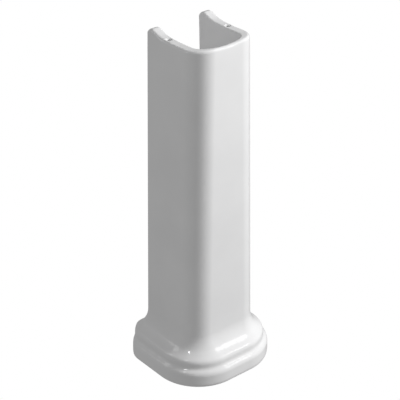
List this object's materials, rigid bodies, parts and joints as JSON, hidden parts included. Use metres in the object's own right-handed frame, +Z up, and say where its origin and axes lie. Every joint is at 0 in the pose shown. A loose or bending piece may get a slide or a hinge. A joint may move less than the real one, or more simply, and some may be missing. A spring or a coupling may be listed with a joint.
{
  "type": "washbasin pedestal",
  "caption": "Full pedestal for a washbasin: white glazed U-shaped column, open at the back, on a stepped foot, with floor fixings.",
  "frame": {"origin": "on the floor, at the middle of the footprint", "axes": "+Z up, -Y the front, +Y the open back that stands to the wall"},
  "size_m": [0.2472, 0.2142, 0.7],
  "materials": {
    "glaze": "gloss white glaze",
    "nylon": "satin natural nylon",
    "steel": "plain stainless steel"
  },
  "bodies": {
    "root": {"pedestal_body": "glaze", "sleeve_left": "nylon", "sleeve_right": "nylon", "washer_left": "steel", "washer_right": "steel", "floor_screw_left": "steel", "floor_screw_right": "steel"}
  },
  "joints": []
}
